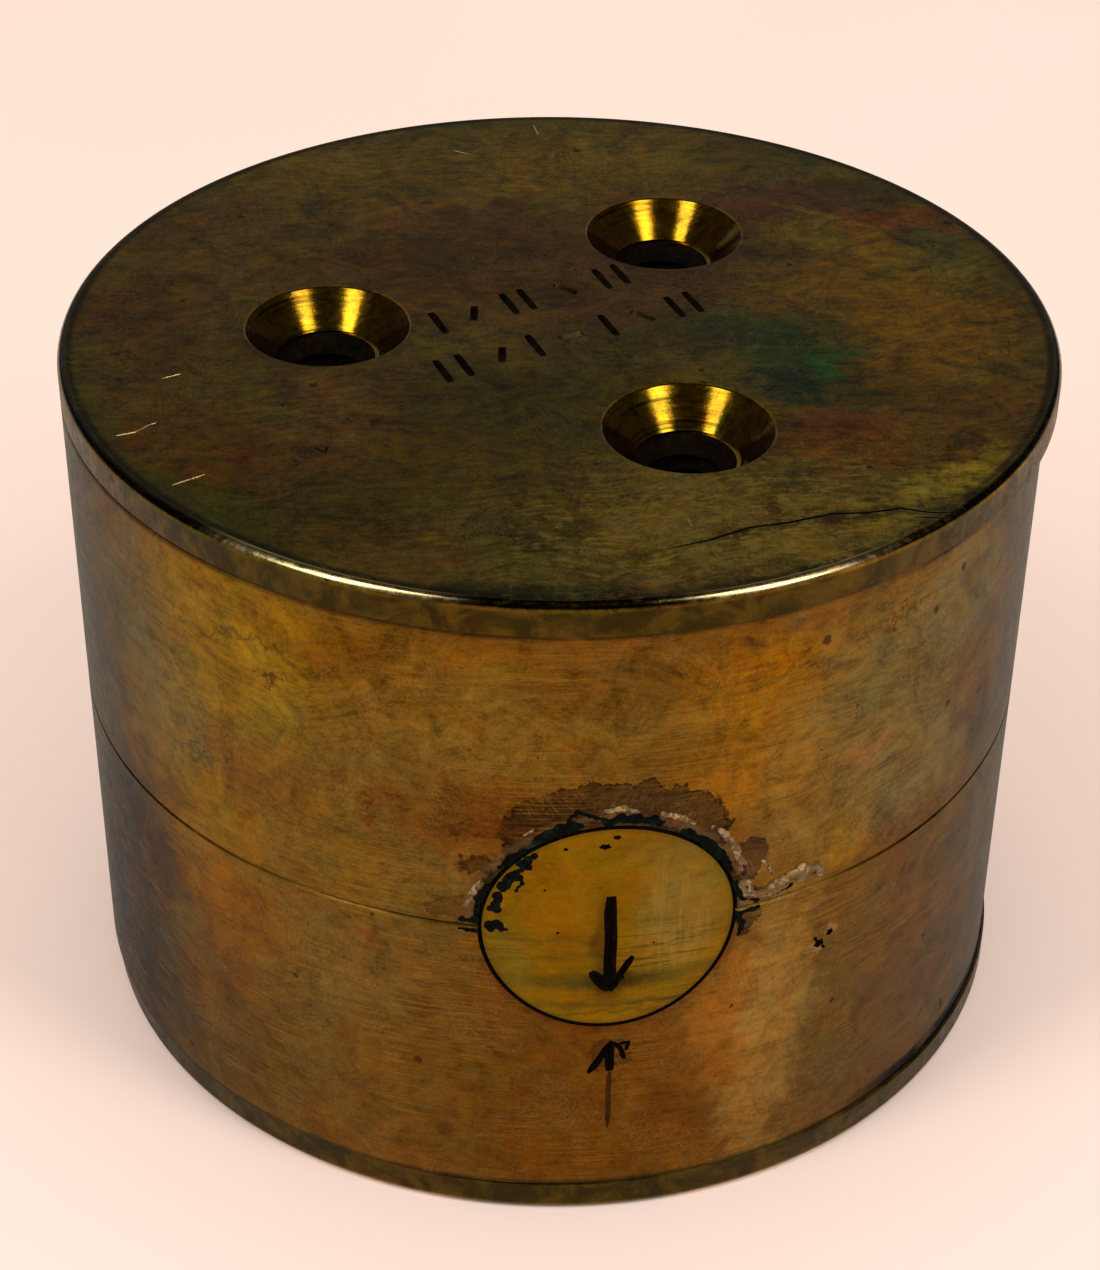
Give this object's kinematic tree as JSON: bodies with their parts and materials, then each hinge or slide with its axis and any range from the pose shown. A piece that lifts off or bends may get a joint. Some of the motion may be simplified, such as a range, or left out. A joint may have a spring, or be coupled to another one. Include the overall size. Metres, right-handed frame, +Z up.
{
  "type": "dental crown flask",
  "caption": "Small round two-part brass moulding flask with screwed end covers and a removable round side plug, in tarnished brass with plaster residue.",
  "frame": {"origin": "centre of the underside, on the top cover's axis", "axes": "+Z up along the flask's axis, and -Y out through the side plug"},
  "size_m": [0.0636, 0.0636, 0.0472],
  "materials": {
    "cover_brass": "dark olive-brown tarnish over machined brass",
    "body_brass": "golden to copper-brown tarnish with fine turning marks",
    "plug_brass": "worn bright yellow brass",
    "pin_brass": "polished",
    "screw_brass": "satin, slotted",
    "plaster_residue": "dry pale plaster crust",
    "verdigris": "dark green-black corrosion crust"
  },
  "bodies": {
    "lower": {"lower_half": "body_brass", "bottom_cover": "cover_brass", "bottom_screw_1": "screw_brass", "bottom_screw_2": "screw_brass", "bottom_screw_3": "screw_brass", "guide_pin_1": "pin_brass", "guide_pin_2": "pin_brass", "guide_pin_3": "pin_brass"},
    "upper": {"upper_half": "body_brass"},
    "lid": {"top_cover": "cover_brass"},
    "plug": {"side_plug": "plug_brass"}
  },
  "joints": [
    {"name": "upper_lift", "type": "slide", "parent": "lower", "child": "upper", "axis": [0, 0, 1], "range_m": [0, 0.03]},
    {"name": "cover_lift", "type": "slide", "parent": "upper", "child": "lid", "axis": [0, 0, 1], "range_m": [0, 0.025]},
    {"name": "plug_pull", "type": "slide", "parent": "lower", "child": "plug", "axis": [0, -1, 0], "range_m": [0, 0.03]}
  ]
}
